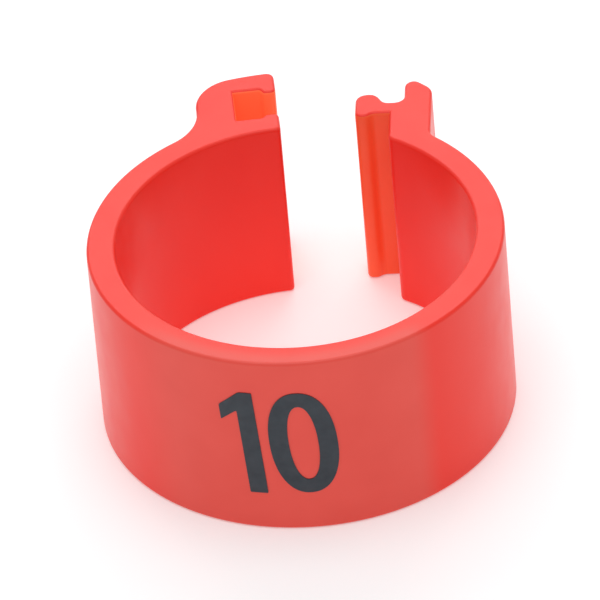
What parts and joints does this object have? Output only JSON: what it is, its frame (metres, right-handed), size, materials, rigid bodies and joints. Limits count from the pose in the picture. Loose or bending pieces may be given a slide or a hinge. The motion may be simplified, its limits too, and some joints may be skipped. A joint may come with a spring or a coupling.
{
  "type": "leg band",
  "caption": "Springy open plastic ring with a printed number that clips round a bird's leg: a bulbed tongue at one end snaps into a slotted socket at the other.",
  "frame": {"origin": "on the ring's axis, in the plane of its lower rim", "axes": "+Z along the bird's leg, up from the lower rim; -Y towards the printed number; +Y towards the gap; +X towards the tongue's side of the ring"},
  "size_m": [0.0232, 0.0269, 0.0115],
  "materials": {
    "band_plastic": "satin",
    "number_ink": "matte"
  },
  "bodies": {
    "front": {"number_panel": "band_plastic", "gate_mark": "band_plastic", "printed_digit_1": "number_ink", "printed_digit_0": "number_ink"},
    "left_1": {"left_wall_1": "band_plastic"},
    "left_2": {"left_wall_2": "band_plastic"},
    "left_3": {"left_wall_3": "band_plastic"},
    "left_end": {"left_wall_4": "band_plastic", "socket_shoulder": "band_plastic", "inner_cheek": "band_plastic", "inner_catch": "band_plastic"},
    "outer_cheek": {"outer_cheek": "band_plastic", "outer_catch": "band_plastic"},
    "right_1": {"right_wall_1": "band_plastic"},
    "right_2": {"right_wall_2": "band_plastic"},
    "right_3": {"right_wall_3": "band_plastic"},
    "right_end": {"right_wall_4": "band_plastic", "thumb_lug": "band_plastic"},
    "tongue": {"tongue_neck": "band_plastic", "tongue_bulb": "band_plastic"}
  },
  "joints": [
    {"name": "right_flex_1", "type": "hinge", "parent": "front", "child": "right_1", "pos_m": [0.00456, -0.00979, 0.00575], "axis": [0, 0, 1], "range_deg": [-8, 4.66], "stiffness_Nm_per_rad": 0.0008},
    {"name": "right_flex_2", "type": "hinge", "parent": "right_1", "child": "right_2", "pos_m": [0.00885, -0.00619, 0.00575], "axis": [0, 0, 1], "range_deg": [-4.91, 2.88], "stiffness_Nm_per_rad": 0.0008},
    {"name": "right_flex_3", "type": "hinge", "parent": "right_2", "child": "right_3", "pos_m": [0.01076, -0.00094, 0.00575], "axis": [0, 0, 1], "range_deg": [-3.37, 1.98], "stiffness_Nm_per_rad": 0.0008},
    {"name": "right_flex_4", "type": "hinge", "parent": "right_3", "child": "right_end", "pos_m": [0.00979, 0.00456, 0.00575], "axis": [0, 0, 1], "range_deg": [-2.19, 1.3], "stiffness_Nm_per_rad": 0.0008},
    {"name": "left_flex_1", "type": "hinge", "parent": "front", "child": "left_1", "pos_m": [-0.00456, -0.00979, 0.00575], "axis": [0, 0, -1], "range_deg": [-8.05, 4.71], "stiffness_Nm_per_rad": 0.0008},
    {"name": "left_flex_2", "type": "hinge", "parent": "left_1", "child": "left_2", "pos_m": [-0.00885, -0.00619, 0.00575], "axis": [0, 0, -1], "range_deg": [-4.91, 2.88], "stiffness_Nm_per_rad": 0.0008},
    {"name": "left_flex_3", "type": "hinge", "parent": "left_2", "child": "left_3", "pos_m": [-0.01076, -0.00094, 0.00575], "axis": [0, 0, -1], "range_deg": [-3.37, 1.98], "stiffness_Nm_per_rad": 0.0008},
    {"name": "left_flex_4", "type": "hinge", "parent": "left_3", "child": "left_end", "pos_m": [-0.00979, 0.00456, 0.00575], "axis": [0, 0, -1], "range_deg": [-2.19, 1.3], "stiffness_Nm_per_rad": 0.0008},
    {"name": "tongue_flex", "type": "hinge", "parent": "right_end", "child": "tongue", "pos_m": [0.0041, 0.01193, 0.00575], "axis": [0, 0, -1], "range_deg": [-8, 8], "stiffness_Nm_per_rad": 0.00015},
    {"name": "outer_cheek_flex", "type": "hinge", "parent": "left_end", "child": "outer_cheek", "pos_m": [-0.00505, 0.01394, 0.00575], "axis": [0, 0, -1], "range_deg": [-6, 0], "stiffness_Nm_per_rad": 0.00015}
  ],
  "couplings": [
    {"joint": "right_flex_2", "follows": "right_flex_1", "ratio": 0.608},
    {"joint": "right_flex_3", "follows": "right_flex_1", "ratio": 0.415},
    {"joint": "right_flex_4", "follows": "right_flex_1", "ratio": 0.268},
    {"joint": "left_flex_1", "follows": "right_flex_1", "ratio": 1},
    {"joint": "left_flex_2", "follows": "right_flex_1", "ratio": 0.608},
    {"joint": "left_flex_3", "follows": "right_flex_1", "ratio": 0.415},
    {"joint": "left_flex_4", "follows": "right_flex_1", "ratio": 0.268}
  ]
}
